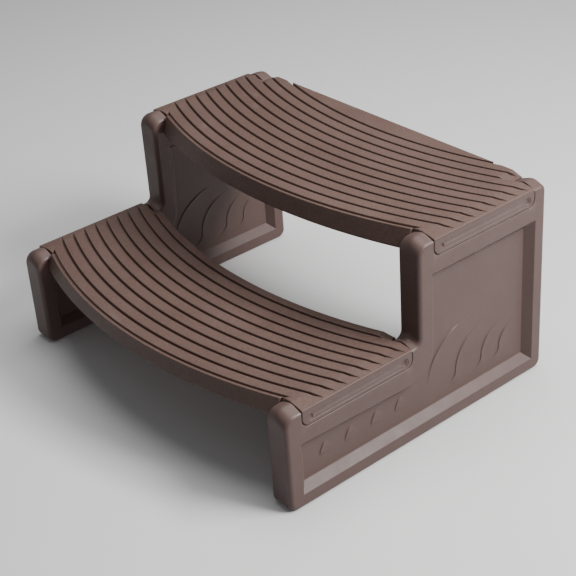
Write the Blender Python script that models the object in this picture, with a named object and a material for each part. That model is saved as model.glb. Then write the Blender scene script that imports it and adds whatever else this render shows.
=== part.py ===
"""Two-tread spa steps: hollow blow-moulded side panels and curved, grooved treads, held by eight screws.

Metres, +Z up. The front is -Y and the steps rise towards +Y. The origin is under the middle of the
outer box, on the floor.
"""

from math import atan2, cos, pi, sin, sqrt, tan

import bmesh
import bpy
from mathutils import Matrix, Vector

# Overall size
WIDTH = 0.778
STEP_RISE = 0.1875
PANEL_DEPTH = 0.6085
RISER_Y = 0.2985
RIB_HEIGHT = 0.006
WALL = 0.003
GAP = 0.0003

# Side panels. Y is measured from the panels' front edge until everything is moved to the origin.
PANEL_THICKNESS = 0.050
EDGE_RADIUS = 0.010
RIDGE_RISE = 0.006
FRONT_CORNER = 0.022
FOOT_CORNER = 0.017
REAR_CORNER = 0.012
RISER_CORNER = 0.012
RECESS_DEPTH = 0.015
FRONT_RIM = 0.028
RISER_RIM = 0.030
REAR_RIM = 0.026
FOOT_RIM = 0.026
UPPER_RIM = 0.061
LOWER_RIM_FRONT = 0.060
LOWER_RIM_REAR = 0.070
RECESS_CORNER = 0.052

# Treads, measured from the panel edge or riser in front of them and from the panels' top edge
FRONT_Y = -0.0335
FRONT_RADIUS = 1.085
LIP_FRONT_Y = -0.0292
LIP_REAR_Y = -0.0250
LIP_HEIGHT = 0.0042
LIP_LEDGE = 0.0003
RIB_RADIUS = 0.951
FIRST_RIB_Y = -0.0205
RIB_PITCH = 0.0258
GROOVE_WIDTH = 0.0055
LOWER_SLAB_THICKNESS = 0.0265
UPPER_SLAB_THICKNESS = 0.0325
LOWER_REAR_Y = 0.2285
UPPER_REAR_Y = 0.305
LOWER_RIBS = 10
UPPER_RIBS = 12
EDGE_MARGIN = 0.001
PAD_START = 0.336
PAD_END = 0.350
RAMP_START = 0.362
RAMP_LIP = 0.002
SHORT_RAMP_END = 0.335
SHORT_RAMP_START = 0.318
RIB_ROOT = 0.0015
RIB_TOE = 0.0005

# Tongue at each tread end, in its notch in the panel
TONGUE_FRONT = 0.035
TONGUE_REAR = 0.2805
TONGUE_DROP = 0.0315
TONGUE_CORNER = 0.015
TONGUE_SLOPE = 0.004
TONGUE_FALL = 0.001
INSET_DEPTH = 0.0012
INSET_HALF_HEIGHT = 0.0065
INSET_END_RADIUS = 0.0064
INSET_Z = -0.0175
INSET_MARGIN = 0.012

# Screw lugs under the tongues, and the screws
LUG_THICKNESS = 0.012
LUG_HALF_WIDTH = 0.020
LUG_DROP = 0.062
LUG_CORNER = 0.008
LUG_FROM_TONGUE_END = 0.045
SCREW_Z = -0.050
SHANK_RADIUS = 0.0024
SHANK_LENGTH = 0.020
TIP_LENGTH = 0.004
HEAD_RADIUS = 0.0055
HEAD_HEIGHT = 0.0032
CROSS_LENGTH = 0.0064
CROSS_WIDTH = 0.0016
CROSS_DEPTH = 0.0018
HOLE_RADIUS = SHANK_RADIUS + GAP
VENT_RADIUS = 0.004
VENT_Y = 0.150

# How far a cutter runs past the surface that it cuts
OVERRUN = 0.002

# Facets
CORNER_STEPS = 5
EDGE_STEPS = 3
ARC_STEPS = 16
HOLE_SIDES = 12

HALF_WIDTH = WIDTH / 2
INNER_X = HALF_WIDTH - PANEL_THICKNESS
TREAD_END_X = INNER_X - GAP
LUG_X = TREAD_END_X - LUG_THICKNESS
LOWER_TOP = STEP_RISE
UPPER_TOP = 2 * STEP_RISE
DEPTH_CENTRE = (FRONT_Y + PANEL_DEPTH) / 2


def clear_scene():
    for item in list(bpy.data.objects):
        bpy.data.objects.remove(item)


def plastic(name, colour):
    return surface(name, colour, roughness=0.55, metallic=0.0)


def surface(name, colour, roughness, metallic):
    material = bpy.data.materials.new(name)
    material.use_nodes = True
    shader = material.node_tree.nodes["Principled BSDF"]
    shader.inputs["Base Color"].default_value = (*colour, 1.0)
    shader.inputs["Roughness"].default_value = roughness
    shader.inputs["Metallic"].default_value = metallic
    return material


def spread(first, last, steps):
    return [first + (last - first) * step / steps for step in range(steps + 1)]


def outline(corners, inset=0.0):
    """Points of a counter-clockwise polygon of (u, v, radius) corners, with its sides moved in by inset."""
    points = []
    for index, (u, v, radius) in enumerate(corners):
        here = Vector((u, v))
        incoming = (here - Vector(corners[index - 1][:2])).normalized()
        outgoing = (Vector(corners[(index + 1) % len(corners)][:2]) - here).normalized()
        inward = Vector((-incoming.y, incoming.x))
        inward_next = Vector((-outgoing.y, outgoing.x))
        corner = here + (inward + inward_next) * inset / (1 + inward.dot(inward_next))
        if radius == 0:
            points.append(corner)
            continue
        turn = atan2(incoming.cross(outgoing), incoming.dot(outgoing))
        side = 1 if turn > 0 else -1
        arc_radius = radius - side * inset
        start = corner - incoming * arc_radius * tan(abs(turn) / 2)
        centre = start + inward * arc_radius * side
        for angle in spread(0, turn, CORNER_STEPS):
            points.append(centre + Matrix.Rotation(angle, 2) @ (start - centre))
    return points


def lofts(name, solids, parent, location=(0, 0, 0)):
    """One object of closed solids, each given as a list of rings with the same number of points."""
    mesh = bpy.data.meshes.new(name)
    shape = bmesh.new()
    for rings in solids:
        rows = [[shape.verts.new(point) for point in ring] for ring in rings]
        for row, following in zip(rows, rows[1:]):
            for index in range(len(row)):
                other = (index + 1) % len(row)
                shape.faces.new((row[index], row[other], following[other], following[index]))
        shape.faces.new(reversed(rows[0]))
        shape.faces.new(rows[-1])
    bmesh.ops.recalc_face_normals(shape, faces=shape.faces)
    shape.to_mesh(mesh)
    shape.free()
    item = bpy.data.objects.new(name, mesh)
    item.parent = parent
    item.location = location
    bpy.context.scene.collection.objects.link(item)
    return item


def combine(target, other, operation):
    """Leaves a live Boolean on target, and hides the object it works with."""
    step = target.modifiers.new(other.name, "BOOLEAN")
    step.operation = operation
    step.object = other
    step.solver = "EXACT"
    other.hide_render = True
    other.display_type = "WIRE"


def finish(item, material):
    item.data.materials.append(material)
    item.data.shade_smooth()
    item.data.set_sharp_from_angle(angle=pi / 6)


def across(points, x):
    """A ring in the plane of a panel, at one place across its thickness."""
    return [(x, point.x, point.y) for point in points]


def flat(points, z):
    return [(x, y, z) for x, y in points]


def prism_x(corners, x_from, x_to, inset=0.0):
    points = outline(corners, inset)
    return [across(points, x_from), across(points, x_to)]


def circle(radius, u, v):
    angles = [2 * pi * side / HOLE_SIDES for side in range(HOLE_SIDES)]
    return [Vector((u + radius * cos(angle), v + radius * sin(angle))) for angle in angles]


def rod_x(radius, x_from, x_to, y, z):
    points = circle(radius, y, z)
    return [across(points, x_from), across(points, x_to)]


def tread_places():
    """(front line y, top z) of the lower and the upper tread."""
    return ((0.0, LOWER_TOP), (RISER_Y, UPPER_TOP))


def lug_rows():
    return (TONGUE_FRONT + LUG_FROM_TONGUE_END, TONGUE_REAR - LUG_FROM_TONGUE_END)


# ---------------------------------------------------------------- side panels


def panel_corners(rise):
    return (
        (0, 0, FOOT_CORNER),
        (PANEL_DEPTH, 0, FOOT_CORNER),
        (PANEL_DEPTH, UPPER_TOP + rise, REAR_CORNER),
        (RISER_Y, UPPER_TOP + rise, FRONT_CORNER),
        (RISER_Y, LOWER_TOP + rise, RISER_CORNER),
        (0, LOWER_TOP + rise, FRONT_CORNER),
    )


def recess_corners():
    return (
        (FRONT_RIM, FOOT_RIM, 0),
        (PANEL_DEPTH - REAR_RIM, FOOT_RIM, 0),
        (PANEL_DEPTH - REAR_RIM, UPPER_TOP - UPPER_RIM, 0),
        (RISER_Y + RISER_RIM, UPPER_TOP - UPPER_RIM, 0),
        (RISER_Y + RISER_RIM, LOWER_TOP - LOWER_RIM_REAR, RECESS_CORNER),
        (FRONT_RIM, LOWER_TOP - LOWER_RIM_FRONT, 0),
    )


def notch_corners(front_y, top_z):
    above = top_z + EDGE_RADIUS
    floor = top_z - TONGUE_DROP
    return (
        (front_y + TONGUE_FRONT, floor, TONGUE_CORNER),
        (front_y + TONGUE_REAR, floor, TONGUE_CORNER),
        (front_y + TONGUE_REAR, above, 0),
        (front_y + TONGUE_FRONT, above, 0),
    )


def rounded_slab(shrink):
    """Rings of the panel, with rounded edges and a low ridge along its tops, moved in by shrink."""
    half = PANEL_THICKNESS / 2
    radius = EDGE_RADIUS - shrink
    profile = []
    for angle in spread(0, pi / 2, EDGE_STEPS):
        inset = EDGE_RADIUS - radius * sin(angle)
        place = half - EDGE_RADIUS + radius * cos(angle)
        profile.append((place, inset))
    mirrored = [(-place, inset) for place, inset in reversed(profile)]
    rings = []
    for place, inset in profile + [(0, shrink)] + mirrored:
        rise = RIDGE_RISE * (1 - abs(place) / half)
        rings.append(across(outline(panel_corners(rise), inset), place))
    return rings


def recess_pair(grow):
    """Cutters for the sunk field on both faces, with sides at 45 degrees, grown by grow on every side."""
    half = PANEL_THICKNESS / 2
    floor = RECESS_DEPTH + grow
    slant = grow * sqrt(2)
    pair = []
    for side in (1, -1):
        mouth = across(outline(recess_corners(), -OVERRUN - slant), side * (half + OVERRUN))
        bottom = across(outline(recess_corners(), floor - slant), side * (half - floor))
        pair.append([mouth, bottom])
    return pair


def side_panel(name, side, parent, material):
    half = PANEL_THICKNESS / 2
    through = half + OVERRUN
    pilot_from = -side * through
    pilot_to = -side * (half - 2 * WALL)
    panel = lofts(name, [rounded_slab(0)], parent, (side * (HALF_WIDTH - half), 0, 0))
    notches = []
    roomy_notches = []
    pilots = []
    for front_y, top_z in tread_places():
        corners = notch_corners(front_y, top_z)
        notches.append(prism_x(corners, -through, through))
        roomy_notches.append(prism_x(corners, -through, through, -WALL))
        for row in lug_rows():
            pilots.append(rod_x(HOLE_RADIUS, pilot_from, pilot_to, front_y + row, top_z + SCREW_Z))
    cavity = lofts(name + "_cavity", [rounded_slab(WALL)], panel)
    combine(cavity, lofts(name + "_inner_notches", roomy_notches, panel), "DIFFERENCE")
    combine(cavity, lofts(name + "_inner_recesses", recess_pair(WALL), panel), "DIFFERENCE")
    combine(panel, lofts(name + "_notches", notches, panel), "DIFFERENCE")
    combine(panel, lofts(name + "_recesses", recess_pair(0), panel), "DIFFERENCE")
    combine(panel, cavity, "DIFFERENCE")
    combine(panel, lofts(name + "_pilot_holes", pilots, panel), "DIFFERENCE")
    finish(panel, material)
    return panel


# --------------------------------------------------------------------- treads


def arc_y(foremost, x, radius=RIB_RADIUS):
    """Y on an arc that bulges forward to foremost on the centre line."""
    return foremost + radius - sqrt(radius**2 - x**2)


def arc(foremost, x_from, x_to, radius=RIB_RADIUS):
    return [(x, arc_y(foremost, x, radius)) for x in spread(x_from, x_to, ARC_STEPS)]


def front_edge(inset, end_x):
    """The tread's front edge at its underside, which bulges forward of its top edge."""
    return arc(FRONT_Y + inset, -end_x, end_x, FRONT_RADIUS)


def top_front_edge(inset, end_x):
    return arc(LIP_FRONT_Y - LIP_LEDGE + inset, -end_x, end_x)


def back_edge(shape, inset, end_x):
    """The tread's rear edge from right to left: an arc like the ribs', or a straight line."""
    if shape == "arc":
        return arc(LOWER_REAR_Y - inset, end_x, -end_x)
    return [(end_x, UPPER_REAR_Y - inset), (-end_x, UPPER_REAR_Y - inset)]


def slab_plan(shape, inset, front):
    end_x = TREAD_END_X - inset
    return front(inset, end_x) + back_edge(shape, inset, end_x)


def plan_with_tongues(shape, inset):
    """The tread seen from above, with its tongues, as one outline."""
    end_x = TREAD_END_X - inset
    tip_x = HALF_WIDTH - inset
    front = TONGUE_FRONT + GAP + inset
    rear = TONGUE_REAR - GAP - inset
    right = [(end_x, front), (tip_x, front), (tip_x, rear), (end_x, rear)]
    left = [(-x, y) for x, y in reversed(right)]
    return front_edge(inset, end_x) + right + back_edge(shape, inset, end_x) + left


def rib(foremost, rearmost):
    """One curved rib, rooted in the slab. Its top slopes down at both ends: to a low lip at the tongue's
    outer face or, behind the tongue, to just below the slab's top. The first one widens over the tongues.
    """
    end, last = SHORT_RAMP_END, -RIB_TOE
    level = spread(-SHORT_RAMP_START, SHORT_RAMP_START, ARC_STEPS)
    if arc_y((foremost + rearmost) / 2, INNER_X) < TONGUE_REAR:
        end, last = HALF_WIDTH, RAMP_LIP
        level = [-RAMP_START, -PAD_END] + spread(-PAD_START, PAD_START, ARC_STEPS) + [PAD_END, RAMP_START]
    rings = []
    for x, top in [(-end, last)] + [(x, RIB_HEIGHT) for x in level] + [(end, last)]:
        front = arc_y(foremost, x)
        if foremost == FIRST_RIB_Y and abs(x) >= PAD_END:
            front = TONGUE_FRONT
        rear = arc_y(rearmost, x)
        rings.append([(x, front, -RIB_ROOT), (x, rear, -RIB_ROOT), (x, rear, top), (x, front, top)])
    return rings


def lip():
    """The low lip along the front edge."""
    rings = []
    for x in spread(-TREAD_END_X, TREAD_END_X, ARC_STEPS):
        front = arc_y(LIP_FRONT_Y, x)
        rear = arc_y(LIP_REAR_Y, x)
        low = [(x, front, -RIB_ROOT), (x, rear, -RIB_ROOT)]
        rings.append(low + [(x, rear, LIP_HEIGHT), (x, front, LIP_HEIGHT)])
    return rings


def ribs(shape, count):
    """Ribs one pitch apart. The last one reaches past the rear edge, where the rib limit cuts it."""
    limit = LOWER_REAR_Y if shape == "arc" else UPPER_REAR_Y + EDGE_MARGIN
    made = [lip()]
    for index in range(count):
        foremost = FIRST_RIB_Y + index * RIB_PITCH
        rearmost = foremost + RIB_PITCH - GROOVE_WIDTH
        if index == count - 1:
            rearmost = limit
        made.append(rib(foremost, rearmost))
    return made


def tongue(side, shrink):
    """A block along the end of the slab. The last stretch of its top slopes down to the outer face."""
    front = TONGUE_FRONT + GAP + shrink
    rear = TONGUE_REAR - GAP - shrink
    bottom = -TONGUE_DROP + GAP + shrink
    radius = TONGUE_CORNER - shrink
    rings = []
    for x, fall in ((LUG_X + shrink, 0), (HALF_WIDTH - TONGUE_SLOPE, 0), (HALF_WIDTH - shrink, TONGUE_FALL)):
        top = -shrink - fall
        corners = ((front, bottom, radius), (rear, bottom, radius), (rear, top, 0), (front, top, 0))
        rings.append(across(outline(corners), side * x))
    return rings


def lug_corners(row):
    front = row - LUG_HALF_WIDTH
    rear = row + LUG_HALF_WIDTH
    top = -LOWER_SLAB_THICKNESS / 2
    return ((front, -LUG_DROP, LUG_CORNER), (rear, -LUG_DROP, LUG_CORNER), (rear, top, 0), (front, top, 0))


def inset_corners():
    front = TONGUE_FRONT + INSET_MARGIN
    rear = TONGUE_REAR - INSET_MARGIN
    radius = INSET_END_RADIUS
    low = INSET_Z - INSET_HALF_HEIGHT
    high = INSET_Z + INSET_HALF_HEIGHT
    return ((front, low, radius), (rear, low, radius), (rear, high, radius), (front, high, radius))


def slab_bottom(shape):
    return -LOWER_SLAB_THICKNESS if shape == "arc" else -UPPER_SLAB_THICKNESS


def slab_solid(shape, shrink):
    """The slab, with a front that leans back as it rises."""
    bottom = flat(slab_plan(shape, shrink, front_edge), slab_bottom(shape) + shrink)
    return [bottom, flat(slab_plan(shape, shrink, top_front_edge), -shrink)]


def rib_limit(shape):
    plan = plan_with_tongues(shape, EDGE_MARGIN)
    return [flat(plan, -2 * RIB_ROOT), flat(plan, 2 * RIB_HEIGHT)]


def vent(shape):
    ring = circle(VENT_RADIUS, 0, VENT_Y)
    return [flat(ring, slab_bottom(shape) - OVERRUN), flat(ring, slab_bottom(shape) + 2 * WALL)]


def tread(name, place, shape, rib_count, parent, material):
    """A hollow slab with ribs, and at each end a hollow tongue over two lugs with screw holes."""
    body = lofts(name, [slab_solid(shape, 0)], parent, place)
    tongues = []
    tongue_rooms = []
    insets = []
    lugs = []
    holes = [vent(shape)]
    for side in (1, -1):
        tip = side * HALF_WIDTH
        lug_face = side * LUG_X
        root = side * TREAD_END_X
        run = side * OVERRUN
        tongues.append(tongue(side, 0))
        tongue_rooms.append(tongue(side, WALL))
        insets.append(prism_x(inset_corners(), tip - side * INSET_DEPTH, tip + run))
        for row in lug_rows():
            lugs.append(prism_x(lug_corners(row), lug_face, root))
            holes.append(rod_x(HOLE_RADIUS, lug_face - run, root + run, row, SCREW_Z))
    band = lofts(name + "_ribs", ribs(shape, rib_count), body)
    combine(band, lofts(name + "_rib_limit", [rib_limit(shape)], body), "INTERSECT")
    combine(body, lofts(name + "_tongues", tongues, body), "UNION")
    combine(body, lofts(name + "_lugs", lugs, body), "UNION")
    combine(body, band, "UNION")
    combine(body, lofts(name + "_room", [slab_solid(shape, WALL)], body), "DIFFERENCE")
    combine(body, lofts(name + "_tongue_rooms", tongue_rooms, body), "DIFFERENCE")
    combine(body, lofts(name + "_holes", holes, body), "DIFFERENCE")
    combine(body, lofts(name + "_insets", insets, body), "DIFFERENCE")
    finish(body, material)
    return body


# --------------------------------------------------------------------- screws


def screw_rings():
    """A pan-head screw along +X, with the underside of its head at X = 0."""
    profile = (
        (-HEAD_HEIGHT, HEAD_RADIUS / 2),
        (-0.8 * HEAD_HEIGHT, 0.85 * HEAD_RADIUS),
        (-0.3 * HEAD_HEIGHT, HEAD_RADIUS),
        (0, HEAD_RADIUS),
        (0, SHANK_RADIUS),
        (SHANK_LENGTH, SHANK_RADIUS),
        (SHANK_LENGTH + TIP_LENGTH, SHANK_RADIUS / 5),
    )
    return [across(circle(radius, 0, 0), x) for x, radius in profile]


def cross_slot(length, width):
    corners = (
        (-length / 2, -width / 2, 0),
        (length / 2, -width / 2, 0),
        (length / 2, width / 2, 0),
        (-length / 2, width / 2, 0),
    )
    return prism_x(corners, -HEAD_HEIGHT - OVERRUN, CROSS_DEPTH - HEAD_HEIGHT)


def screw(name, place, side, parent, material):
    item = lofts(name, [screw_rings()], parent, place)
    item.rotation_euler = (0, 0, 0 if side > 0 else pi)
    slots = [cross_slot(CROSS_LENGTH, CROSS_WIDTH), cross_slot(CROSS_WIDTH, CROSS_LENGTH)]
    for index, slot in enumerate(slots):
        combine(item, lofts(f"{name}_slot_{index}", [slot], item), "DIFFERENCE")
    finish(item, material)
    return item


def main():
    clear_scene()
    frame = bpy.data.objects.new("spa_steps", None)
    frame.location = (0, -DEPTH_CENTRE, 0)
    bpy.context.scene.collection.objects.link(frame)
    moulded = plastic("brown_moulded_plastic", (0.215, 0.165, 0.150))
    steel = surface("stainless_steel", (0.62, 0.61, 0.60), roughness=0.3, metallic=1.0)
    side_panel("side_panel_right", 1, frame, moulded)
    side_panel("side_panel_left", -1, frame, moulded)
    tread("lower_tread", (0, 0, LOWER_TOP), "arc", LOWER_RIBS, frame, moulded)
    tread("upper_tread", (0, RISER_Y, UPPER_TOP), "straight", UPPER_RIBS, frame, moulded)
    for level, (front_y, top_z) in zip(("lower", "upper"), tread_places()):
        for side, side_name in ((1, "right"), (-1, "left")):
            for row, row_name in zip(lug_rows(), ("front", "rear")):
                place = (side * (LUG_X - GAP), front_y + row, top_z + SCREW_Z)
                screw(f"screw_{level}_{side_name}_{row_name}", place, side, frame, steel)


main()
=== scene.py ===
"""The looks of moulded plastic spa steps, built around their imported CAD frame."""

from math import asin, atan2, cos, exp, hypot, pi, radians, sin, sqrt, tan

import bmesh
import bpy
from mathutils import Matrix, Vector
from mathutils.geometry import delaunay_2d_cdt


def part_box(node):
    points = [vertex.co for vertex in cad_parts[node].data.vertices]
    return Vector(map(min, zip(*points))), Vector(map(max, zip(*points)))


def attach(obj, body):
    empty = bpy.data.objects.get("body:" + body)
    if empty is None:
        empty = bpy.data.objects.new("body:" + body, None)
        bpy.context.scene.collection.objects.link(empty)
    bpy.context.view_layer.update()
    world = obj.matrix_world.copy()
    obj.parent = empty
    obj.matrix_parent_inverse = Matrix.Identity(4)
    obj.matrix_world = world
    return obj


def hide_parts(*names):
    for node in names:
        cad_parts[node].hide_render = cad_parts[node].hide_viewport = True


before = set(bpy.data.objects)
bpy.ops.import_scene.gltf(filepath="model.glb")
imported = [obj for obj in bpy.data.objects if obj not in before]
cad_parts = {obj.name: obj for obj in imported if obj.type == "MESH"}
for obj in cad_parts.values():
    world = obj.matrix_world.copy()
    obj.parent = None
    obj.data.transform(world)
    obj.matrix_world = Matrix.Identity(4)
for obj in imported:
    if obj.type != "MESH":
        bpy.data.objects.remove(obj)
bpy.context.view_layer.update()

# ------------------------------------------------------------------ sizes read from the frame

PANEL_LOW, PANEL_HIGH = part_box("side_panel_right")
LOWER_LOW, LOWER_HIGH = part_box("lower_tread")
UPPER_LOW, UPPER_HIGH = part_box("upper_tread")

RIB_HEIGHT = 0.006
HALF_WIDTH = PANEL_HIGH.x
PANEL_THICKNESS = PANEL_HIGH.x - PANEL_LOW.x
PANEL_MIDDLE = HALF_WIDTH - PANEL_THICKNESS / 2
PANEL_FRONT = PANEL_LOW.y
PANEL_DEPTH = PANEL_HIGH.y - PANEL_LOW.y
LOWER_TOP = LOWER_HIGH.z - RIB_HEIGHT
UPPER_TOP = UPPER_HIGH.z - RIB_HEIGHT
RISER_Y = UPPER_LOW.y - LOWER_LOW.y

# Side panels. Y and Z are measured from the front edge and the floor.
EDGE_RADIUS = 0.008
TOP_EDGE_RADIUS = 0.0045
RIDGE_RISE = 0.006
RIDGE_SLOPE = 0.42
RIDGE_BLUNTNESS = 0.006
FRONT_CORNER = 0.022
FOOT_CORNER = 0.017
REAR_CORNER = 0.012
RISER_CORNER = 0.012
RECESS_DEPTH = 0.015
RECESS_RIM_RADIUS = 0.0025
RECESS_FLOOR_RADIUS = 0.0035
FRONT_RIM = 0.028
RISER_RIM = 0.030
REAR_RIM = 0.026
FOOT_RIM = 0.026
UPPER_RIM = 0.061
LOWER_RIM_FRONT = 0.060
LOWER_RIM_REAR = 0.070
RECESS_CORNER = 0.052

# Treads
FRONT_Y = -0.0335
LOWER_SLAB_THICKNESS = 0.0265
UPPER_SLAB_THICKNESS = 0.0325
FRONT_RADIUS = 1.085
RIB_RADIUS = 0.951
FIRST_RIB_Y = -0.0205
RIB_PITCH = 0.0258
GROOVE_WIDTH = 0.0052
GROOVE_DRAFT = 0.0008
RIB_EDGE_RADIUS = 0.0015
RIB_ROOT = 0.0015
RIB_END_SINK = 0.0004
LEAST_RIB_WIDTH = 0.001
LOWER_REAR_Y = 0.2285
UPPER_REAR_Y = 0.305
LOWER_RIBS = 10
UPPER_RIBS = 12
EDGE_MARGIN = 0.001
RAMP_START = 0.362
RAMP_END = 0.3865
SHORT_RAMP_START = 0.318
SHORT_RAMP_END = 0.3345
PAD_START = 0.3385
PAD_END = 0.3535
FLOOR_RISE = 0.002
TIP_RADIUS = 0.0024
REAR_EDGE_RADIUS = 0.003
LIP_FRONT_Y = -0.0292
LIP_REAR_Y = -0.0250
LIP_HEIGHT = 0.0042
LIP_FLOOR = 0.0020
LIP_EDGE_RADIUS = 0.0009
UNDER_RADIUS = 0.004
SLAB_END_RADIUS = 0.0015
GAP = 0.0003
TREAD_END_X = HALF_WIDTH - PANEL_THICKNESS - GAP

# Tongues and their notches
TONGUE_FRONT = 0.035
TONGUE_REAR = 0.2805
TONGUE_DROP = 0.0315
TONGUE_CORNER = 0.015
TONGUE_STEP = 0.00015
TONGUE_SINK = 0.002
TONGUE_GAP = 0.0008
RIB_INSET = TONGUE_GAP + GROOVE_DRAFT + GAP
TONGUE_EDGE_RADIUS = 0.0018
TONGUE_ROOT = 0.004
NOTCH_EDGE_RADIUS = 0.0022
NOTCH_OVERLAP = 0.0002
NOTCH_RIDGE_MARGIN = 0.002
NOTCH_SPREAD = 0.006
NOTCH_SPREAD_RISE = 0.0025
NOTCH_CUTTER_TOP = 0.012
NOTCH_CUTTER_MARGIN = 0.004
INSET_DEPTH = 0.0012
INSET_HALF_HEIGHT = 0.0075
INSET_Z = -0.0175
INSET_MARGIN = 0.012
INSET_REAR_RADIUS = 0.0100
INSET_PROFILE = ((0, 0), (0.0003, 0.0002), (0.0008, 0.0008), (0.0013, 0.0011), (0.002, INSET_DEPTH))
DIMPLE_RADIUS = 0.0047
REAR_DIMPLE_RADIUS = 1.4 * DIMPLE_RADIUS
DIMPLE_DEPTH = 0.0018
DIMPLE_PROFILE = ((0, 0), (0.04, 0.12), (0.2, 0.7), (0.4, 0.95), (0.7, 1))

# Lugs and screws
LUG_THICKNESS = 0.012
LUG_HALF_WIDTH = 0.020
LUG_DROP = 0.062
LUG_CORNER = 0.008
LUG_FROM_TONGUE_END = 0.045
LUG_X = TREAD_END_X - LUG_THICKNESS
VENT_RADIUS = 0.004
VENT_Y = 0.150
VENT_PROFILE = ((-0.002, 1.25), (0.0, 1.25), (0.0008, 1.0), (0.012, 0.95))
SHANK_RADIUS = 0.0024
THREAD_CORE = 0.0019
THREAD_PITCH = 0.0014
THREAD_STEPS = 8
SHANK_LENGTH = 0.020
TIP_LENGTH = 0.004
HEAD_RADIUS = 0.0055
HEAD_HEIGHT = 0.0032
HEAD_PROFILE = ((0.42, 1.0), (0.66, 0.95), (0.82, 0.84), (0.93, 0.66), (0.985, 0.46), (1.0, 0.28), (1.0, 0.0))
TIP_SHARE = 0.25
POINT_SHARE = 0.2
CROSS_LENGTH = 0.0064
CROSS_WIDTH = 0.0016
CROSS_DEPTH = 0.0018
CROSS_DRAFT = 0.72
SCREW_SIDES = 24

# How finely curves are divided
CORNER_STEPS = 9
SLAB_CORNER_STEPS = 6
FILLET_STEPS = 8
ARC_STEPS = 72
CIRCLE_SIDES = 24
CLEAN_DISTANCE = 0.000005
MERGE_DISTANCE = 0.000001
SHARP_ANGLE = 38


# ------------------------------------------------------------------ outlines


def spread(first, last, steps):
    return [first + (last - first) * step / steps for step in range(steps + 1)]


def outline(corners, inset=0.0, steps=CORNER_STEPS):
    """Points of a counter-clockwise polygon of (u, v, radius) corners, with its sides moved in by inset."""
    points = []
    for index, (u, v, radius) in enumerate(corners):
        here = Vector((u, v))
        incoming = (here - Vector(corners[index - 1][:2])).normalized()
        outgoing = (Vector(corners[(index + 1) % len(corners)][:2]) - here).normalized()
        inward = Vector((-incoming.y, incoming.x))
        inward_next = Vector((-outgoing.y, outgoing.x))
        corner = here + (inward + inward_next) * inset / (1 + inward.dot(inward_next))
        if radius == 0:
            points.append(corner)
            continue
        turn = atan2(incoming.cross(outgoing), incoming.dot(outgoing))
        side = 1 if turn > 0 else -1
        arc_radius = radius - side * inset
        start = corner - incoming * arc_radius * tan(abs(turn) / 2)
        centre = start + inward * arc_radius * side
        for angle in spread(0, turn, steps):
            points.append(centre + Matrix.Rotation(angle, 2) @ (start - centre))
    return points


def at_x(points, x):
    """A ring of points across the object's width, from (y, z) pairs."""
    return [(x, y, z) for y, z in points]


# ------------------------------------------------------------------ meshes


def bridge(shape, rows):
    """Quads between each row of vertices and the next."""
    for row, following in zip(rows, rows[1:]):
        for index in range(len(row)):
            other = (index + 1) % len(row)
            shape.faces.new((row[index], row[other], following[other], following[index]))


def loops_of(row):
    return [(row[index], row[(index + 1) % len(row)]) for index in range(len(row))]


def fill_between(shape, outer, *inner):
    """Flat faces inside one loop and outside the others, all in one plane across X."""
    edges = []
    for row in (outer, *inner):
        for a, b in loops_of(row):
            edges.append(shape.edges.get((a, b)) or shape.edges.new((a, b)))
    bmesh.ops.triangle_fill(shape, use_beauty=True, use_dissolve=False, edges=edges, normal=(1, 0, 0))


def lofts(shape, rings, caps=True):
    rows = [[shape.verts.new(point) for point in ring] for ring in rings]
    bridge(shape, rows)
    if caps:
        shape.faces.new(reversed(rows[0]))
        shape.faces.new(rows[-1])
    return rows


def new_object(name, shape):
    """Turns a bmesh into an object, with its faces pointing out."""
    bmesh.ops.remove_doubles(shape, verts=shape.verts, dist=MERGE_DISTANCE)
    bmesh.ops.recalc_face_normals(shape, faces=shape.faces)
    mesh = bpy.data.meshes.new(name)
    shape.to_mesh(mesh)
    shape.free()
    item = bpy.data.objects.new(name, mesh)
    bpy.context.scene.collection.objects.link(item)
    return item


def apply_modifiers(item):
    graph = bpy.context.evaluated_depsgraph_get()
    mesh = bpy.data.meshes.new_from_object(item.evaluated_get(graph))
    old = item.data
    item.modifiers.clear()
    item.data = mesh
    bpy.data.meshes.remove(old)


def combine(target, others, operation):
    for other in others:
        step = target.modifiers.new(other.name, "BOOLEAN")
        step.operation = operation
        step.object = other
        step.solver = "EXACT"
    apply_modifiers(target)
    for other in others:
        bpy.data.objects.remove(other)


def clean(item):
    """Takes out the specks that Booleans leave: doubled points and faces with no area, then fills the holes
    this leaves.
    """
    shape = bmesh.new()
    shape.from_mesh(item.data)
    bmesh.ops.remove_doubles(shape, verts=shape.verts, dist=CLEAN_DISTANCE)
    bmesh.ops.dissolve_degenerate(shape, dist=CLEAN_DISTANCE, edges=shape.edges)
    bmesh.ops.triangulate(shape, faces=[face for face in shape.faces if len(face.verts) > 4])
    bmesh.ops.dissolve_degenerate(shape, dist=CLEAN_DISTANCE, edges=shape.edges)
    folded = [face for face in shape.faces if face.calc_area() < CLEAN_DISTANCE**2]
    bmesh.ops.delete(shape, geom=folded, context="FACES")
    bmesh.ops.holes_fill(shape, edges=[edge for edge in shape.edges if edge.is_boundary])
    shape.to_mesh(item.data)
    shape.free()


def finish_shading(item):
    mesh = item.data
    mesh.shade_smooth()
    mesh.set_sharp_from_angle(angle=radians(SHARP_ANGLE))
    weighted = item.modifiers.new("face_weighted_normals", "WEIGHTED_NORMAL")
    weighted.keep_sharp = True
    weighted.weight = 80


def place(item, name, node, slot, material):
    item.name = name
    item.data.materials.clear()
    item.data.materials.append(material)
    item.location = (0, PANEL_FRONT, 0)
    finish_shading(item)
    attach(item, "root")
    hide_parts(node)


# ------------------------------------------------------------------ side panels


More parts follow.
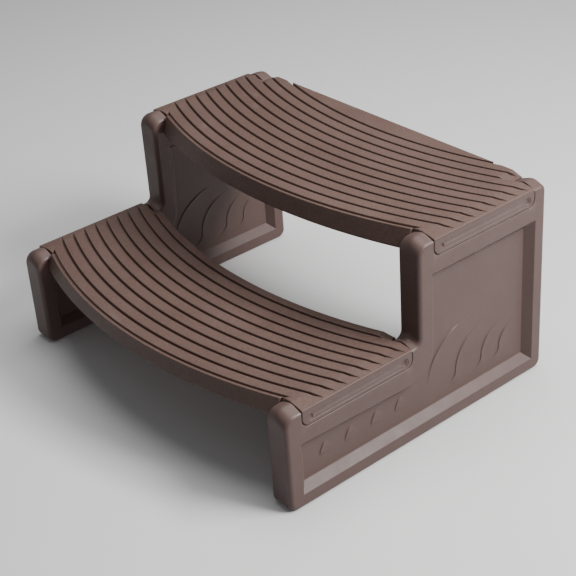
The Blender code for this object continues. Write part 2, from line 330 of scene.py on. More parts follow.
def ridge_height(across):
    """Height of a panel's top over its plane, at a distance from the panel's middle: a soft ridge."""
    blunt = hypot(across, RIDGE_BLUNTNESS) - RIDGE_BLUNTNESS
    return RIDGE_RISE - RIDGE_SLOPE * blunt


def fillet_drop(across, edge, radius):
    """How far a rounded edge has dropped at a distance from the middle of a slab with faces at +-edge."""
    over = abs(across) - (edge - radius)
    if over <= 0:
        return 0.0
    return radius - sqrt(max(radius**2 - over**2, 0.0))


def panel_top(across):
    return ridge_height(across) - fillet_drop(across, PANEL_THICKNESS / 2, TOP_EDGE_RADIUS)


def panel_corners(rise):
    return (
        (0, 0, FOOT_CORNER),
        (PANEL_DEPTH, 0, FOOT_CORNER),
        (PANEL_DEPTH, UPPER_TOP + rise, REAR_CORNER),
        (RISER_Y, UPPER_TOP + rise, FRONT_CORNER),
        (RISER_Y, LOWER_TOP + rise, RISER_CORNER),
        (0, LOWER_TOP + rise, FRONT_CORNER),
    )


def panel_stations():
    """Places across a panel's thickness, close together where its edges are round."""
    half = PANEL_THICKNESS / 2
    angles = spread(pi / 2, 0, 2 * FILLET_STEPS)
    places = [half - EDGE_RADIUS * (1 - sin(angle)) for angle in angles]
    places += spread(half - EDGE_RADIUS, 0, 6)[1:]
    return places + [-place for place in reversed(places[:-1])]


def panel_rings():
    rings = []
    for across in panel_stations():
        inset = fillet_drop(across, PANEL_THICKNESS / 2, EDGE_RADIUS)
        rise = panel_top(across) + inset
        rings.append(at_x(outline(panel_corners(rise), inset), across))
    return rings


def recess_corners():
    return (
        (FRONT_RIM, FOOT_RIM, 0),
        (PANEL_DEPTH - REAR_RIM, FOOT_RIM, 0),
        (PANEL_DEPTH - REAR_RIM, UPPER_TOP - UPPER_RIM, 0),
        (RISER_Y + RISER_RIM, UPPER_TOP - UPPER_RIM, 0),
        (RISER_Y + RISER_RIM, LOWER_TOP - LOWER_RIM_REAR, RECESS_CORNER),
        (FRONT_RIM, LOWER_TOP - LOWER_RIM_FRONT, 0),
    )


def sink_profile():
    """(inset, depth) pairs down the recess's 45 degree side, with a rounded rim and foot."""
    half_turn = tan(pi / 8)
    profile = []
    for angle in spread(0, pi / 4, 4):
        inset = RECESS_RIM_RADIUS * (sin(angle) - half_turn)
        profile.append((inset, RECESS_RIM_RADIUS * (1 - cos(angle))))
    for angle in spread(pi / 4, 0, 4):
        inset = RECESS_DEPTH + RECESS_FLOOR_RADIUS * (half_turn - sin(angle))
        profile.append((inset, RECESS_DEPTH - RECESS_FLOOR_RADIUS * (1 - cos(angle))))
    return profile


# Creases moulded into the recess floors. Each is a quarter ellipse that bends back the other way at its foot.
CREASE_HEIGHT = 0.0018
CREASE_STEP = 0.0017
CREASE_FADE = 0.013
CREASE_STEPS = 34
CREASE_END_SHARE = 0.28
CREASE_ROWS = (-0.004, -CREASE_STEP, -CREASE_STEP / 2, 0.0, 0.0025, 0.006, 0.011, 0.018, 0.027)
CREASE_TAIL_WIDTH = 0.044
CREASE_TAIL_HEIGHT = 0.026
CREASE_TAIL_TURN = 1.35
LOW_CREASE_FEET = (0.079, 0.135, 0.194, 0.250)
LOW_CREASE_Z = 0.068
LOW_CREASE_WIDTH = 0.060
LOW_CREASE_HEIGHT = 0.045
LOW_CREASE_TURN = 0.72
HIGH_CREASE_FEET = (0.329, 0.398, 0.463, 0.509)
HIGH_CREASE_Z = 0.083
HIGH_CREASE_WIDTH = 0.115
HIGH_CREASE_HEIGHT = 0.100
HIGH_CREASE_TURN = 1.50
HIGH_CREASE_SHRINK = 0.735


def creases():
    """(y and z of the foot, width, height, first turn, last turn) of each crease."""
    made = []
    for foot_y in LOW_CREASE_FEET:
        made.append((foot_y, LOW_CREASE_Z, LOW_CREASE_WIDTH, LOW_CREASE_HEIGHT, 0.0, LOW_CREASE_TURN))
    for index, foot_y in enumerate(HIGH_CREASE_FEET):
        size = HIGH_CREASE_SHRINK**index
        first = -CREASE_TAIL_TURN if index else 0.0
        shape = (HIGH_CREASE_WIDTH * size, HIGH_CREASE_HEIGHT * size)
        made.append((foot_y, HIGH_CREASE_Z, *shape, first, HIGH_CREASE_TURN))
    return made


def crease_point(crease, turn, offset):
    """A point beside a crease. A positive offset is inside its curve."""
    foot_y, foot_z, width, height = crease[:4]
    if turn < 0:
        width = -CREASE_TAIL_WIDTH
        height = CREASE_TAIL_HEIGHT
    y = foot_y + width * (1 - cos(turn))
    z = foot_z + height * sin(turn)
    along = Vector((width * sin(turn), height * cos(turn))).normalized()
    return Vector((y + along.y * offset, z - along.x * offset))


def crease_relief(crease, turn, offset):
    """Height of the floor beside a crease: a short step up, then a long fade."""
    first, last = crease[4:]
    fade = CREASE_END_SHARE * (last - first)
    fade_in = min((turn - first) / fade, 1.0)
    fade_out = min((last - turn) / fade, 1.0)
    strength = CREASE_HEIGHT * max(0.0, min(fade_in, fade_out))
    if offset < 0:
        return strength * max(0.0, 1 + offset / CREASE_STEP)
    return strength * exp(-offset / CREASE_FADE)


def inside(point, corners):
    """Whether a point is inside a polygon, by counting the sides that a level ray crosses."""
    crossings = 0
    for index, b in enumerate(corners):
        a = corners[index - 1]
        if (a[1] > point[1]) != (b[1] > point[1]):
            crossings += point[0] < a[0] + (b[0] - a[0]) * (point[1] - a[1]) / (b[1] - a[1])
    return crossings % 2 == 1


def recess_floor(shape, row, side):
    """The floor of a sunk field, with its creases raised in it, inside a row of rim vertices."""
    rim = [Vector(vert.co.yz) for vert in row]
    x = row[0].co.x
    limit = outline(recess_corners(), RECESS_DEPTH + 2 * RECESS_FLOOR_RADIUS)
    points = list(rim)
    relief = [0.0] * len(rim)
    edges = [(index, (index + 1) % len(rim)) for index in range(len(rim))]
    for crease in creases():
        for offset in CREASE_ROWS:
            previous = None
            for turn in spread(crease[4], crease[5], CREASE_STEPS):
                point = crease_point(crease, turn, offset)
                if not inside(point, limit):
                    previous = None
                    continue
                points.append(point)
                relief.append(crease_relief(crease, turn, offset))
                if previous is not None and offset in (-CREASE_STEP, 0.0):
                    edges.append((previous, len(points) - 1))
                previous = len(points) - 1
    placed, _, faces, origins, _, _ = delaunay_2d_cdt(points, edges, [], 1, 1e-7)
    verts = []
    for point, origin in zip(placed, origins):
        height = max((relief[index] for index in origin), default=0.0)
        rim_index = next((index for index in origin if index < len(rim)), None)
        if rim_index is None:
            verts.append(shape.verts.new((x + side * height, point.x, point.y)))
        else:
            verts.append(row[rim_index])
    for face in faces:
        shape.faces.new([verts[index] for index in face])


def panel_solid():
    shape = bmesh.new()
    rows = lofts(shape, panel_rings(), caps=False)
    for side, edge_row in ((1, rows[0]), (-1, rows[-1])):
        face_x = side * PANEL_THICKNESS / 2
        sink = []
        for inset, depth in sink_profile():
            ring = at_x(outline(recess_corners(), inset), face_x - side * depth)
            sink.append([shape.verts.new(point) for point in ring])
        bridge(shape, sink)
        fill_between(shape, edge_row, sink[0])
        recess_floor(shape, sink[-1], side)
    return new_object("panel_solid", shape)


def notch_ring(front_y, top_z, across):
    """The notch's outline at one place across the panel. It spreads a little at the panel's surface."""
    half = PANEL_THICKNESS / 2
    beyond = half + NOTCH_OVERLAP
    flare = fillet_drop(min(abs(across), beyond), beyond, NOTCH_EDGE_RADIUS)
    lip = top_z + ridge_height(min(abs(across), half - NOTCH_RIDGE_MARGIN)) - NOTCH_OVERLAP
    front = front_y + TONGUE_FRONT - flare
    rear = front_y + TONGUE_REAR + flare
    floor = top_z - TONGUE_DROP - flare
    corner = TONGUE_CORNER + flare
    corners = (
        (front, floor, corner),
        (rear, floor, corner),
        (rear, lip, NOTCH_EDGE_RADIUS),
        (rear + NOTCH_SPREAD, lip + NOTCH_SPREAD_RISE, 0),
        (rear + NOTCH_SPREAD, top_z + NOTCH_CUTTER_TOP, 0),
        (front - NOTCH_SPREAD, top_z + NOTCH_CUTTER_TOP, 0),
        (front - NOTCH_SPREAD, lip + NOTCH_SPREAD_RISE, 0),
        (front, lip, NOTCH_EDGE_RADIUS),
    )
    return at_x(outline(corners), across)


def notch_cutter(front_y, top_z):
    half = PANEL_THICKNESS / 2
    beyond = half + NOTCH_OVERLAP
    angles = spread(pi / 2, 0, 5)
    places = [half + NOTCH_CUTTER_MARGIN]
    places += [beyond - NOTCH_EDGE_RADIUS * (1 - sin(angle)) for angle in angles]
    places += spread(beyond - NOTCH_EDGE_RADIUS, 0, 10)[1:]
    places += [-across for across in reversed(places[:-1])]
    shape = bmesh.new()
    lofts(shape, [notch_ring(front_y, top_z, across) for across in places])
    return new_object("notch_cutter", shape)


def side_panels(material):
    solid = panel_solid()
    combine(solid, [notch_cutter(0.0, LOWER_TOP), notch_cutter(RISER_Y, UPPER_TOP)], "DIFFERENCE")
    for side, name in ((1, "right"), (-1, "left")):
        mesh = solid.data.copy()
        if side < 0:
            mesh.transform(Matrix.Scale(-1, 4, (1, 0, 0)))
            mesh.flip_normals()
        mesh.transform(Matrix.Translation((side * PANEL_MIDDLE, 0, 0)))
        panel = bpy.data.objects.new(name + "_panel_moulding", mesh)
        bpy.context.scene.collection.objects.link(panel)
        place(panel, name + "_panel_moulding", "side_panel_" + name, "side_panel", material)
    bpy.data.objects.remove(solid)


# ------------------------------------------------------------------ treads


def arc_y(foremost, x, radius=RIB_RADIUS):
    """Y on an arc that bulges forward to foremost on the centre line."""
    return foremost + radius - sqrt(radius**2 - x**2)


def ease(value, start, end):
    share = max(0.0, min((value - start) / (end - start), 1.0))
    return share * share * (3 - 2 * share)


def groove_floor(x):
    """Height of the grooves' floor, which rises to the tongue's outer edge."""
    return FLOOR_RISE * ease(abs(x), RAMP_START, HALF_WIDTH - TIP_RADIUS)


def slab_thickness(shape_name):
    return LOWER_SLAB_THICKNESS if shape_name == "arc" else UPPER_SLAB_THICKNESS


def slab_ring(shape_name, x, inset):
    front = arc_y(FRONT_Y, x, FRONT_RADIUS)
    rear = arc_y(LOWER_REAR_Y, x) if shape_name == "arc" else UPPER_REAR_Y
    under = -slab_thickness(shape_name)
    corners = (
        (front, under, UNDER_RADIUS),
        (rear, under, UNDER_RADIUS),
        (rear, 0, REAR_EDGE_RADIUS),
        (arc_y(FIRST_RIB_Y + 2 * LIP_FLOOR, x), 0, 0),
        (arc_y(FIRST_RIB_Y + LIP_FLOOR, x), LIP_FLOOR, 0),
        (arc_y(LIP_REAR_Y, x), LIP_FLOOR, LIP_EDGE_RADIUS / 2),
        (arc_y(LIP_REAR_Y - GROOVE_DRAFT, x), LIP_HEIGHT, LIP_EDGE_RADIUS),
        (arc_y(LIP_FRONT_Y, x), LIP_HEIGHT, 2 * LIP_EDGE_RADIUS),
    )
    return at_x(outline(corners, inset, SLAB_CORNER_STEPS), x)


def slab(shape_name):
    shape = bmesh.new()
    places = [TREAD_END_X - SLAB_END_RADIUS * (1 - sin(angle)) for angle in spread(pi / 2, 0, 4)]
    places += spread(TREAD_END_X - SLAB_END_RADIUS, 0, ARC_STEPS // 2)[1:]
    places += [-x for x in reversed(places[:-1])]
    rings = []
    for x in places:
        rings.append(slab_ring(shape_name, x, fillet_drop(x, TREAD_END_X, SLAB_END_RADIUS)))
    lofts(shape, rings)
    return new_object("slab", shape)


def circle(radius, u, v):
    angles = [2 * pi * side / CIRCLE_SIDES for side in range(CIRCLE_SIDES)]
    return [(u + radius * cos(angle), v + radius * sin(angle)) for angle in angles]


def long_field(inset):
    """The long shallow field in the tongue's outer face, with a wider round end at the rear."""
    half_height = INSET_HALF_HEIGHT - inset
    end_radius = INSET_REAR_RADIUS - inset
    front = TONGUE_FRONT + INSET_MARGIN + INSET_HALF_HEIGHT
    rear = TONGUE_REAR - INSET_MARGIN - INSET_HALF_HEIGHT
    opening = asin(half_height / end_radius)
    points = []
    for angle in spread(opening - pi, pi - opening, 24):
        points.append((rear + end_radius * cos(angle), INSET_Z + end_radius * sin(angle)))
    for angle in spread(pi / 2, 3 * pi / 2, 10):
        points.append((front + half_height * cos(angle), INSET_Z + half_height * sin(angle)))
    return points


def tongue(side):
    """A tongue, with a rounded outer edge and a shallow field in its outer face."""
    shape = bmesh.new()
    angles = spread(pi / 2, 0, 2 * FILLET_STEPS)
    places = [HALF_WIDTH - TIP_RADIUS * (1 - sin(angle)) for angle in angles]
    places += spread(HALF_WIDTH - TIP_RADIUS, RAMP_START, 4)[1:]
    places += [TREAD_END_X - SLAB_END_RADIUS / 2, TREAD_END_X - TONGUE_ROOT, LUG_X]
    rings = []
    for x in places:
        edge = fillet_drop(x, HALF_WIDTH, TONGUE_EDGE_RADIUS)
        top = groove_floor(x) - fillet_drop(x, HALF_WIDTH, TIP_RADIUS) + edge - TONGUE_STEP
        if x < TREAD_END_X - SLAB_END_RADIUS:
            top -= TONGUE_SINK
        front = TONGUE_FRONT + TONGUE_GAP
        rear = TONGUE_REAR - TONGUE_GAP
        floor = -TONGUE_DROP + TONGUE_GAP
        corners = (
            (front, floor, TONGUE_CORNER),
            (rear, floor, TONGUE_CORNER),
            (rear, top, TONGUE_EDGE_RADIUS + edge),
            (front, top, TONGUE_EDGE_RADIUS + edge),
        )
        rings.append(at_x(outline(corners, edge), side * x))
    rows = lofts(shape, rings, caps=False)
    shape.faces.new(rows[-1])
    sunk = []
    for inset, depth in INSET_PROFILE:
        ring = at_x(long_field(inset), side * (HALF_WIDTH - depth))
        sunk.append([shape.verts.new(point) for point in ring])
    bridge(shape, sunk)
    fill_between(shape, rows[0], sunk[0])
    dimples = []
    end = INSET_MARGIN + INSET_HALF_HEIGHT
    for middle, size in ((TONGUE_FRONT + end, DIMPLE_RADIUS), (TONGUE_REAR - end, REAR_DIMPLE_RADIUS)):
        bowl = []
        for shrink, deeper in DIMPLE_PROFILE:
            ring = circle(size * (1 - shrink), middle, INSET_Z)
            x = side * (HALF_WIDTH - INSET_DEPTH - deeper * DIMPLE_DEPTH)
            bowl.append([shape.verts.new(point) for point in at_x(ring, x)])
        bridge(shape, bowl)
        shape.faces.new(bowl[-1])
        dimples.append(bowl[0])
    fill_between(shape, sunk[-1], *dimples)
    return new_object("tongue", shape)


def rib_profile(front, rear):
    """(y, height) pairs round a rib's section, from its front root over its top to its rear root."""
    round_off = min(RIB_EDGE_RADIUS, 0.45 * (rear - front))
    profile = [(front - GROOVE_DRAFT, -RIB_ROOT)]
    for angle in spread(0, pi / 2, 4):
        profile.append((front + round_off * (1 - cos(angle)), RIB_HEIGHT - round_off * (1 - sin(angle))))
    for angle in spread(pi / 2, 0, 4):
        profile.append((rear - round_off * (1 - cos(angle)), RIB_HEIGHT - round_off * (1 - sin(angle))))
    profile.append((rear + GROOVE_DRAFT, -RIB_ROOT))
    return profile


def rib_section(x, front, rear, share):
    """A rib's section at one place across the tread, at a share of its full height."""
    floor = groove_floor(x)
    ring = []
    for y, height in rib_profile(front, rear):
        z = height * share - RIB_END_SINK * (1 - share) if height > 0 else height
        ring.append((x, y, floor + z))
    return ring


def rib_rings(foremost, rearmost, limit):
    """A rib's sections. Its rear stays in front of limit, and where no rib is left it ends."""
    over_tongue = arc_y((foremost + rearmost) / 2, TREAD_END_X) < TONGUE_REAR
    start, end = (RAMP_START, RAMP_END) if over_tongue else (SHORT_RAMP_START, SHORT_RAMP_END)
    if over_tongue:
        limit = TONGUE_REAR - RIB_INSET
    steep = RIB_RADIUS - (limit - LEAST_RIB_WIDTH - foremost)
    reach = sqrt(RIB_RADIUS**2 - steep**2)
    ramp = spread(end, start, 8)
    if reach < end:
        ramp = [reach] + [x for x in ramp if x < reach]
    places = ramp + [x for x in spread(start, 0, ARC_STEPS // 2)[1:] if x < ramp[-1]]
    places += [-x for x in reversed(places[:-1])]
    rings = []
    for x in places:
        rear = min(arc_y(rearmost, x), limit)
        rings.append(rib_section(x, arc_y(foremost, x), rear, min(1.0, (end - abs(x)) / (end - start))))
    return rings


def pads():
    """The pads in front of the first rib, over the tongues. The groove behind them closes outwards."""
    shape = bmesh.new()
    for side in (1, -1):
        rings = []
        for x in spread(RAMP_END, RAMP_START, 8) + spread(RAMP_START, PAD_START, 20)[1:]:
            closed = ease(x, PAD_START, PAD_END)
            rear = arc_y(LIP_REAR_Y, x) + (FIRST_RIB_Y - LIP_REAR_Y + 2 * RIB_EDGE_RADIUS) * closed
            height = LIP_HEIGHT + (RIB_HEIGHT - LIP_HEIGHT) * closed
            share = min(1.0, (RAMP_END - x) / (RAMP_END - RAMP_START)) * height / RIB_HEIGHT
            rings.append(rib_section(side * x, TONGUE_FRONT + RIB_INSET, rear, share))
        lofts(shape, rings)
    return new_object("pads", shape)


def ribs(shape_name, count):
    """All the ribs of a tread. The last one reaches the rear edge."""
    if shape_name == "arc":
        last = LOWER_REAR_Y - EDGE_MARGIN
        limit = arc_y(LOWER_REAR_Y, SHORT_RAMP_END)
    else:
        last = UPPER_REAR_Y
        limit = UPPER_REAR_Y - EDGE_MARGIN
    shape = bmesh.new()
    for index in range(count):
        foremost = FIRST_RIB_Y + index * RIB_PITCH
        rearmost = last if index == count - 1 else foremost + RIB_PITCH - GROOVE_WIDTH
        lofts(shape, rib_rings(foremost, rearmost, limit))
    return new_object("ribs", shape)


def lug_rows():
    return (TONGUE_FRONT + LUG_FROM_TONGUE_END, TONGUE_REAR - LUG_FROM_TONGUE_END)


def lugs():
    shape = bmesh.new()
    for side in (1, -1):
        for row in lug_rows():
            top = -LOWER_SLAB_THICKNESS / 2
            corners = (
                (row - LUG_HALF_WIDTH, -LUG_DROP, LUG_CORNER),
                (row + LUG_HALF_WIDTH, -LUG_DROP, LUG_CORNER),
                (row + LUG_HALF_WIDTH, top, 0),
                (row - LUG_HALF_WIDTH, top, 0),
            )
            rings = []
            for x, inset in ((LUG_X, 0.001), (LUG_X + 0.0003, 0.0003), (LUG_X + 0.001, 0), (TREAD_END_X, 0)):
                rings.append(at_x(outline(corners, inset), side * x))
            lofts(shape, rings)
    return new_object("lugs", shape)


def vent(shape_name):
    """A cutter for the blow hole under a tread."""
    shape = bmesh.new()
    under = -slab_thickness(shape_name)
    rings = []
    for z, share in VENT_PROFILE:
        ring = circle(VENT_RADIUS * share, 0, VENT_Y)
        rings.append([(x, y, under + z) for x, y in ring])
    lofts(shape, rings)
    return new_object("vent", shape)


def tread(name, node, level, shape_name, rib_count, material):
    body = slab(shape_name)
    combine(body, [tongue(1), tongue(-1), lugs()], "UNION")
    combine(body, [ribs(shape_name, rib_count), pads()], "UNION")
    combine(body, [vent(shape_name)], "DIFFERENCE")
    front_y, top_z = level
    clean(body)
    body.data.transform(Matrix.Translation((0, front_y, top_z)))
    place(body, name, node, "tread", material)


# ------------------------------------------------------------------ screws


def screw_ring(x, radius, ridge=0.0, turn=0.0):
    """A ring round the screw's axis. Its thread stands out by ridge where it crosses the ring."""
    points = []
    for side in range(SCREW_SIDES):
        share = side / SCREW_SIDES
        crest = 1 - abs(2 * ((share + turn) % 1) - 1)
        reach = radius + ridge * max(0.0, 2 * crest - 1)
        points.append((x, reach * cos(2 * pi * share), reach * sin(2 * pi * share)))
    return points


def screw_solid():
    """A pan-head screw along +X, with the underside of its head at X = 0."""
    rings = [screw_ring(-HEAD_HEIGHT * height, HEAD_RADIUS * radius) for radius, height in HEAD_PROFILE]
    rings.append(screw_ring(0.0, SHANK_RADIUS))
    steps = round((SHANK_LENGTH + TIP_LENGTH) / THREAD_PITCH * THREAD_STEPS)
    for step in range(1, steps):
        x = step * THREAD_PITCH / THREAD_STEPS
        taper = min(1.0, (SHANK_LENGTH + TIP_LENGTH - x) / TIP_LENGTH)
        core = THREAD_CORE * (TIP_SHARE + (1 - TIP_SHARE) * taper)
        rings.append(screw_ring(x, core, (SHANK_RADIUS - THREAD_CORE) * taper, step / THREAD_STEPS))
    rings.append(screw_ring(SHANK_LENGTH + TIP_LENGTH, THREAD_CORE * POINT_SHARE))
    shape = bmesh.new()
    lofts(shape, rings)
    solid = new_object("screw_solid", shape)
    cutters = []
    for length, width in ((CROSS_LENGTH, CROSS_WIDTH), (CROSS_WIDTH, CROSS_LENGTH)):
        shape = bmesh.new()
        cross = []
        depths = ((-2 * HEAD_HEIGHT, 1.0), (-HEAD_HEIGHT, 1.0), (CROSS_DEPTH - HEAD_HEIGHT, CROSS_DRAFT))
        for x, draft in depths:
            u = length / 2 * draft
            v = width / 2 * draft
            cross.append([(x, -u, -v), (x, u, -v), (x, u, v), (x, -u, v)])
        lofts(shape, cross)
        cutters.append(new_object("cross", shape))
    combine(solid, cutters, "DIFFERENCE")
    return solid


def screws(material):
    solid = screw_solid()
    for level in ("lower", "upper"):
        for side, side_name in ((1, "right"), (-1, "left")):
            for row in ("front", "rear"):
                node = f"screw_{level}_{side_name}_{row}"
                low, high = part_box(node)
                mesh = solid.data.copy()
                mesh.transform(Matrix.Scale(-1 if side < 0 else 1, 4, (1, 0, 0)))
                if side < 0:
                    mesh.flip_normals()
                head_x = low.x + HEAD_HEIGHT if side > 0 else high.x - HEAD_HEIGHT
                middle = (low + high) / 2
                mesh.transform(Matrix.Translation((head_x, middle.y - PANEL_FRONT, middle.z)))
                item = bpy.data.objects.new(node + "_steel", mesh)
                bpy.context.scene.collection.objects.link(item)
                place(item, node + "_steel", node, "screw", material)
    bpy.data.objects.remove(solid)


# ------------------------------------------------------------------ materials

# Linear colours
DEEP_BROWN = (0.113, 0.066, 0.057, 1)
WARM_BROWN = (0.143, 0.090, 0.079, 1)
DEEP_TREAD = (0.100, 0.055, 0.042, 1)
WARM_TREAD = (0.166, 0.103, 0.085, 1)
# Light brown of real scuffs, also used for the painted highlight along edges.
SCUFF_AND_HIGHLIGHT_BROWN = (0.245, 0.178, 0.165, 1)
STEEL_GREY = (0.56, 0.55, 0.53, 1)
STEEL_DARK = (0.30, 0.29, 0.28, 1)


class Shader:
    """A material whose nodes are added and wired one by one."""

    def __init__(self, name):
        self.material = bpy.data.materials.new(name)
        self.material.use_nodes = True
        self.nodes = self.material.node_tree.nodes
        self.surface = self.nodes["Principled BSDF"]
        self.place = self.add("TexCoord").outputs["Object"]

    def add(self, kind, inputs=(), **settings):
        node = self.nodes.new("ShaderNode" + kind)
        for key, value in settings.items():
            setattr(node, key, value)
        for key, value in dict(inputs).items():
            self.feed(node.inputs[key], value)
        return node

    def feed(self, socket, value):
        if isinstance(value, bpy.types.NodeSocket):
            self.material.node_tree.links.new(value, socket)
        else:
            socket.default_value = value

    def math(self, operation, a, b=0.0, c=0.0):
        node = self.add("Math", operation=operation)
        for socket, value in zip(node.inputs, (a, b, c)):
            self.feed(socket, value)
        return node.outputs["Value"]

    def vector_math(self, operation, a, b):
        node = self.add("VectorMath", operation=operation)
        self.feed(node.inputs[0], a)
        self.feed(node.inputs[1], b)
        return node.outputs["Vector"]

    def noise(self, vector, scale, detail=2.0, roughness=0.5):
        inputs = {"Vector": vector, "Scale": scale, "Detail": detail, "Roughness": roughness}
        return self.add("TexNoise", inputs).outputs["Fac"]

    def remap(self, value, low, high, new_low=0.0, new_high=1.0):
        inputs = {"Value": value, "From Min": low, "From Max": high, "To Min": new_low, "To Max": new_high}
        return self.add("MapRange", inputs).outputs["Result"]

    def mix(self, share, first, second, blend="MIX"):
        node = self.add("Mix", data_type="RGBA", blend_type=blend)
        colours = [socket for socket in node.inputs if socket.type == "RGBA"]
        self.feed(node.inputs["Factor"], share)
        self.feed(colours[0], first)
        self.feed(colours[1], second)
        return next(socket for socket in node.outputs if socket.type == "RGBA")

    def bump(self, height, distance, strength=1.0, normal=None):
        node = self.add("Bump", {"Height": height, "Distance": distance, "Strength": strength})
        if normal is not None:
            self.feed(node.inputs["Normal"], normal)
        return node.outputs["Normal"]

    def facing_sideways(self):
        """1 on faces across X, such as the tongues' outer faces, and 0 on the treads' tops and edges."""
        normal = self.add("NewGeometry").outputs["True Normal"]
        parts = self.add("SeparateXYZ", {"Vector": normal}).outputs
        return self.remap(self.math("ABSOLUTE", parts["X"]), 0.55, 0.85)

    def along_ribs(self):
        """Coordinates that follow the treads' arcs: across the ribs, along them and upwards."""
        parts = self.add("SeparateXYZ", {"Vector": self.place}).outputs
        sideways = self.math("POWER", self.math("ABSOLUTE", parts["X"]), 2.0)
        squares = self.math("SUBTRACT", RIB_RADIUS**2, sideways)
        across = self.math("ADD", parts["Y"], self.math("SQRT", squares))
        return self.add("CombineXYZ", {"X": across, "Y": parts["X"], "Z": parts["Z"]}).outputs["Vector"]


def brown_plastic(name, ribbed):
    """Brown polyethylene: slightly cloudy colour, moulded grain, edges polished by wear and lightened as a
    painted highlight, and the treads' sideways faces tinted lighter as a painted sheen.
    """
    shader = Shader(name)
    grained = shader.place
    if ribbed:
        grained = shader.vector_math("MULTIPLY", shader.along_ribs(), (1.0, 0.45, 1.0))
    cloud = shader.noise(shader.place, scale=9.0, detail=4.0, roughness=0.55)
    pigment = shader.noise(grained, scale=420.0, detail=3.0, roughness=0.7)
    fine = shader.noise(grained, scale=1300.0, detail=2.0, roughness=0.6)
    scuffs = scuff_mask(shader)
    edges = shader.remap(shader.add("NewGeometry").outputs["Pointiness"], 0.52, 0.60)
    patches = shader.noise(shader.place, scale=60.0, detail=5.0, roughness=0.7)
    patchy = shader.remap(patches, 0.38, 0.62, 0.45, 1.0)
    # Edge mask: its lower roughness and coat are real polish; its colour lightening below is a painted
    # highlight.
    edge_polish_and_highlight = shader.math("MULTIPLY", edges, patchy)
    cloudy = shader.remap(cloud, 0.3, 0.7, 0.0, 0.4)
    tone = shader.math("ADD", cloudy, shader.remap(pigment, 0.34, 0.66, 0.0, 0.6))
    # On the treads, sideways faces are smoother and also take the lighter panel browns as a painted sheen;
    # tops keep the deeper tread browns.
    smooth_side_and_sheen_tint = shader.facing_sideways() if ribbed else 1.0
    deep = shader.mix(smooth_side_and_sheen_tint, DEEP_TREAD, DEEP_BROWN)
    colour = shader.mix(tone, deep, shader.mix(smooth_side_and_sheen_tint, WARM_TREAD, WARM_BROWN))
    # Edges are mixed towards the light brown as a painted highlight, alongside the real scuffs.
    scuffs_and_edge_highlight = shader.math("MAXIMUM", shader.math("MULTIPLY", edge_polish_and_highlight, 0.7), shader.math("MULTIPLY", scuffs, 0.2))
    colour = shader.mix(scuffs_and_edge_highlight, colour, SCUFF_AND_HIGHLIGHT_BROWN)
    shader.feed(shader.surface.inputs["Base Color"], colour)
    sheen = shader.noise(shader.place, scale=35.0, detail=4.0, roughness=0.6)
    rough = shader.remap(sheen, 0.3, 0.7, 0.50, 0.58)
    rough = shader.math("SUBTRACT", rough, shader.math("MULTIPLY", smooth_side_and_sheen_tint, 0.08))
    rough = shader.math("ADD", rough, shader.math("MULTIPLY", scuffs, 0.12))
    rough = shader.math("SUBTRACT", rough, shader.math("MULTIPLY", edges, 0.24))
    shader.feed(shader.surface.inputs["Roughness"], rough)
    shader.feed(shader.surface.inputs["Coat Weight"], shader.math("MULTIPLY", edge_polish_and_highlight, 0.8))
    for socket, value in (("Coat Roughness", 0.15), ("Specular IOR Level", 0.45), ("IOR", 1.5)):
        shader.surface.inputs[socket].default_value = value
    grain = shader.math("ADD", shader.math("MULTIPLY", pigment, 0.7), shader.math("MULTIPLY", fine, 0.3))
    normal = shader.bump(cloud, distance=0.004, strength=0.25)
    depth = shader.remap(smooth_side_and_sheen_tint, 0.0, 1.0, 0.0011, 0.0002)
    normal = shader.bump(grain, distance=depth, normal=normal)
    shader.feed(shader.surface.inputs["Normal"], normal)
    return shader.material


def scuff_mask(shader):
    """Sparse short scratches, in two directions."""
    marks = None
    for turn, scale in ((0.5, (14.0, 260.0, 60.0)), (2.0, (60.0, 18.0, 240.0))):
        turned = shader.add("VectorRotate", {"Vector": shader.place, "Angle": turn}, rotation_type="Z_AXIS")
        stretched = shader.vector_math("MULTIPLY", turned.outputs["Vector"], scale)
        streaks = shader.noise(stretched, scale=1.0, detail=2.0, roughness=0.4)
        layer = shader.remap(streaks, 0.68, 0.76)
        marks = layer if marks is None else shader.math("MAXIMUM", marks, layer)
    patches = shader.remap(shader.noise(shader.place, scale=11.0), 0.48, 0.62)
    return shader.math("MULTIPLY", marks, patches)


def brushed_steel(name):
    """Plain stainless steel with turning marks round the screws' axes."""
    shader = Shader(name)
    stretched = shader.vector_math("MULTIPLY", shader.place, (40.0, 900.0, 900.0))
    rings = shader.noise(stretched, scale=1.0, detail=3.0, roughness=0.6)
    stain = shader.noise(shader.place, scale=300.0, detail=3.0)
    colour = shader.mix(shader.remap(stain, 0.35, 0.65), STEEL_GREY, STEEL_DARK)
    shader.feed(shader.surface.inputs["Base Color"], colour)
    shader.surface.inputs["Metallic"].default_value = 1.0
    shader.feed(shader.surface.inputs["Roughness"], shader.remap(rings, 0.3, 0.7, 0.28, 0.45))
    shader.feed(shader.surface.inputs["Normal"], shader.bump(rings, distance=0.00005, strength=0.6))
    return shader.material


# ------------------------------------------------------------------ stage


EYE = (1.8076, -1.3877, 1.5001)
AZIMUTH = 51.557
ELEVATION = 30.804
ROLL = -4.128
LENS = 88.857
SENSOR_WIDTH = 36

FLOOR_SIZE = 12
FLOOR_COLOUR = (0.86, 0.86, 0.85, 1)
FLOOR_ROUGHNESS = 0.8
WORLD_COLOUR = (0.95, 0.97, 1.0, 1)
WORLD_STRENGTH = 0.19

# (name, place, target, width, watts)
LIGHTS = (
    ("overhead", (-0.1, 0.5, 2.8), (0, 0.1, 0.2), 2.4, 48),
    ("side", (2.4, 1.15, 2.2), (0, 0, 0.2), 1.2, 108),
    ("kicker", (1.55, 1.35, 2.20), (0, 0, 0.2), 0.45, 22),
)


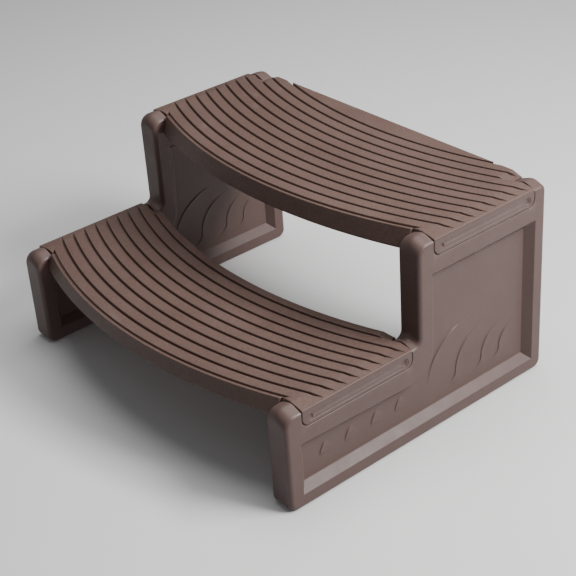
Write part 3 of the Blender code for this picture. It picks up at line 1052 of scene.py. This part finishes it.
def camera():
    data = bpy.data.cameras.new("camera")
    data.lens = LENS
    data.sensor_width = SENSOR_WIDTH
    item = bpy.data.objects.new("camera", data)
    turn = radians(AZIMUTH)
    tilt = radians(ELEVATION)
    forward = Vector((-sin(turn) * cos(tilt), cos(turn) * cos(tilt), -sin(tilt)))
    aim = forward.to_track_quat("-Z", "Y").to_matrix()
    item.matrix_world = Matrix.Translation(EYE) @ (aim @ Matrix.Rotation(radians(ROLL), 3, "Z")).to_4x4()
    bpy.context.scene.collection.objects.link(item)
    bpy.context.scene.camera = item


def area_light(name, place_at, target, size, power):
    data = bpy.data.lights.new(name, "AREA")
    data.shape = "DISK"
    data.size = size
    data.energy = power
    item = bpy.data.objects.new(name, data)
    item.location = place_at
    item.rotation_euler = (Vector(target) - Vector(place_at)).to_track_quat("-Z", "Y").to_euler()
    bpy.context.scene.collection.objects.link(item)


def stage():
    shape = bmesh.new()
    bmesh.ops.create_grid(shape, x_segments=1, y_segments=1, size=FLOOR_SIZE)
    floor = new_object("floor", shape)
    material = bpy.data.materials.new("pale_floor")
    material.use_nodes = True
    shader = material.node_tree.nodes["Principled BSDF"]
    shader.inputs["Base Color"].default_value = FLOOR_COLOUR
    shader.inputs["Roughness"].default_value = FLOOR_ROUGHNESS
    floor.data.materials.append(material)
    floor.visible_diffuse = False
    world = bpy.data.worlds.new("studio")
    world.use_nodes = True
    background = world.node_tree.nodes["Background"]
    background.inputs["Color"].default_value = WORLD_COLOUR
    background.inputs["Strength"].default_value = WORLD_STRENGTH
    bpy.context.scene.world = world
    for light in LIGHTS:
        area_light(*light)


def main():
    side_panels(brown_plastic("brown_panel_plastic", ribbed=False))
    plastic = brown_plastic("brown_tread_plastic", ribbed=True)
    tread("lower_tread_moulding", "lower_tread", (0.0, LOWER_TOP), "arc", LOWER_RIBS, plastic)
    tread("upper_tread_moulding", "upper_tread", (RISER_Y, UPPER_TOP), "straight", UPPER_RIBS, plastic)
    screws(brushed_steel("brushed_steel"))
    stage()
    camera()


main()
